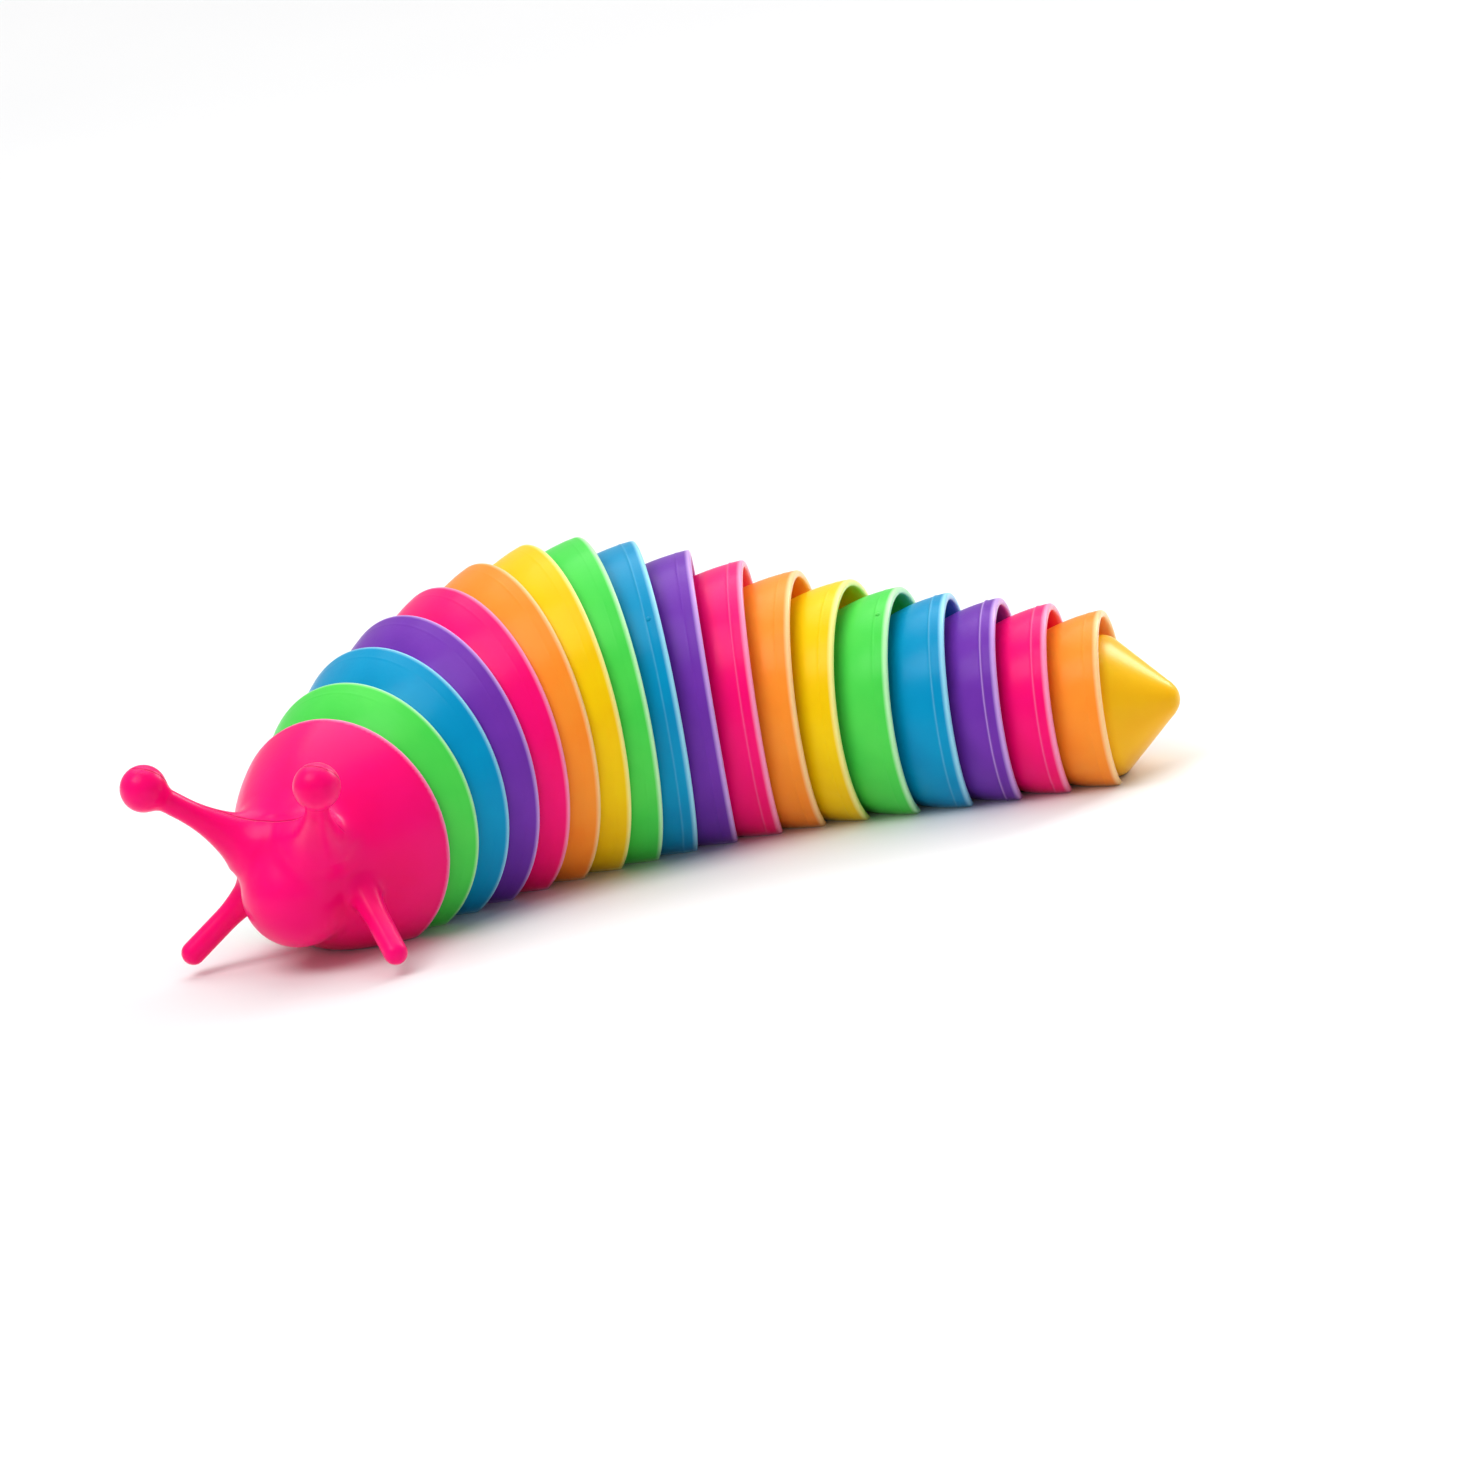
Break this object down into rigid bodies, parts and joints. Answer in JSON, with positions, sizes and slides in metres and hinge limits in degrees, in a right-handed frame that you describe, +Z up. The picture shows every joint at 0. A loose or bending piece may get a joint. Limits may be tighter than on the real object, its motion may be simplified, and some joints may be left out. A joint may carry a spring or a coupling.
{
  "type": "articulated slug toy",
  "caption": "Rainbow slug fidget toy: nested plastic cups snapped nose to tail, so the body wriggles sideways, with eye stalks and feelers on the head.",
  "frame": {"origin": "on the flat underside, in the middle of the cross bar of the ninth piece", "axes": "+Z up, +X from head to tail, -Y the side seen in the picture"},
  "size_m": [0.1606, 0.0902, 0.0492],
  "materials": {
    "pink": "satin moulded plastic",
    "green": "satin moulded plastic",
    "blue": "satin moulded plastic",
    "purple": "satin moulded plastic",
    "orange": "satin moulded plastic",
    "yellow": "satin moulded plastic"
  },
  "bodies": {
    "head": {"head": "pink"},
    "cup_02_green": {"cup_02_green": "green"},
    "cup_03_blue": {"cup_03_blue": "blue"},
    "cup_04_purple": {"cup_04_purple": "purple"},
    "cup_05_pink": {"cup_05_pink": "pink"},
    "cup_06_orange": {"cup_06_orange": "orange"},
    "cup_07_yellow": {"cup_07_yellow": "yellow"},
    "cup_08_green": {"cup_08_green": "green"},
    "cup_09_blue": {"cup_09_blue": "blue"},
    "cup_10_purple": {"cup_10_purple": "purple"},
    "cup_11_pink": {"cup_11_pink": "pink"},
    "cup_12_orange": {"cup_12_orange": "orange"},
    "cup_13_yellow": {"cup_13_yellow": "yellow"},
    "cup_14_green": {"cup_14_green": "green"},
    "cup_15_blue": {"cup_15_blue": "blue"},
    "cup_16_purple": {"cup_16_purple": "purple"},
    "cup_17_pink": {"cup_17_pink": "pink"},
    "cup_18_orange": {"cup_18_orange": "orange"},
    "tail_tip": {"tail_tip": "yellow"}
  },
  "joints": [
    {"name": "pivot_01", "type": "hinge", "parent": "head", "child": "cup_02_green", "pos_m": [-0.04268, -0.02685, 0.01756], "axis": [0, 0, 1], "range_deg": [-0.5, 13.5]},
    {"name": "pivot_02", "type": "hinge", "parent": "cup_02_green", "child": "cup_03_blue", "pos_m": [-0.03778, -0.0209, 0.01907], "axis": [0, 0, 1], "range_deg": [-0.5, 13.5]},
    {"name": "pivot_03", "type": "hinge", "parent": "cup_03_blue", "child": "cup_04_purple", "pos_m": [-0.03224, -0.01556, 0.02033], "axis": [0, 0, 1], "range_deg": [-0.5, 13.5]},
    {"name": "pivot_04", "type": "hinge", "parent": "cup_04_purple", "child": "cup_05_pink", "pos_m": [-0.02613, -0.01087, 0.02134], "axis": [0, 0, 1], "range_deg": [-0.5, 13.5]},
    {"name": "pivot_05", "type": "hinge", "parent": "cup_05_pink", "child": "cup_06_orange", "pos_m": [-0.01953, -0.0069, 0.02209], "axis": [0, 0, 1], "range_deg": [-0.5, 13.5]},
    {"name": "pivot_06", "type": "hinge", "parent": "cup_06_orange", "child": "cup_07_yellow", "pos_m": [-0.01253, -0.00371, 0.02251], "axis": [0, 0, 1], "range_deg": [-0.5, 13.5]},
    {"name": "pivot_07", "type": "hinge", "parent": "cup_07_yellow", "child": "cup_08_green", "pos_m": [-0.0052, -0.00133, 0.02218], "axis": [0, 0, 1], "range_deg": [-0.5, 13.5]},
    {"name": "pivot_08", "type": "hinge", "parent": "cup_08_green", "child": "cup_09_blue", "pos_m": [0.00234, 0.0002, 0.02108], "axis": [0, 0, 1], "range_deg": [-0.5, 13.5]},
    {"name": "pivot_09", "type": "hinge", "parent": "cup_09_blue", "child": "cup_10_purple", "pos_m": [0.01001, 0.00088, 0.01974], "axis": [0, 0, 1], "range_deg": [-1, 13]},
    {"name": "pivot_10", "type": "hinge", "parent": "cup_10_purple", "child": "cup_11_pink", "pos_m": [0.01771, 0.00074, 0.0184], "axis": [0, 0, 1], "range_deg": [-3.5, 10.5]},
    {"name": "pivot_11", "type": "hinge", "parent": "cup_11_pink", "child": "cup_12_orange", "pos_m": [0.02539, 0.00014, 0.01714], "axis": [0, 0, 1], "range_deg": [-1.5, 12.5]},
    {"name": "pivot_12", "type": "hinge", "parent": "cup_12_orange", "child": "cup_13_yellow", "pos_m": [0.03297, -0.0012, 0.01604], "axis": [0, 0, 1], "range_deg": [-1.5, 12.5]},
    {"name": "pivot_13", "type": "hinge", "parent": "cup_13_yellow", "child": "cup_14_green", "pos_m": [0.04039, -0.00326, 0.01512], "axis": [0, 0, 1], "range_deg": [-8.5, 5.5]},
    {"name": "pivot_14", "type": "hinge", "parent": "cup_14_green", "child": "cup_15_blue", "pos_m": [0.04786, -0.00512, 0.01428], "axis": [0, 0, 1], "range_deg": [-11, 3]},
    {"name": "pivot_15", "type": "hinge", "parent": "cup_15_blue", "child": "cup_16_purple", "pos_m": [0.05544, -0.00646, 0.01344], "axis": [0, 0, 1], "range_deg": [-6.5, 7.5]},
    {"name": "pivot_16", "type": "hinge", "parent": "cup_16_purple", "child": "cup_17_pink", "pos_m": [0.06302, -0.00786, 0.0126], "axis": [0, 0, 1], "range_deg": [-6.5, 7.5]},
    {"name": "pivot_17", "type": "hinge", "parent": "cup_17_pink", "child": "cup_18_orange", "pos_m": [0.07057, -0.00933, 0.01168], "axis": [0, 0, 1], "range_deg": [-7, 7]},
    {"name": "pivot_18", "type": "hinge", "parent": "cup_18_orange", "child": "tail_tip", "pos_m": [0.07813, -0.0108, 0.01075], "axis": [0, 0, 1], "range_deg": [-6, 8]}
  ]
}
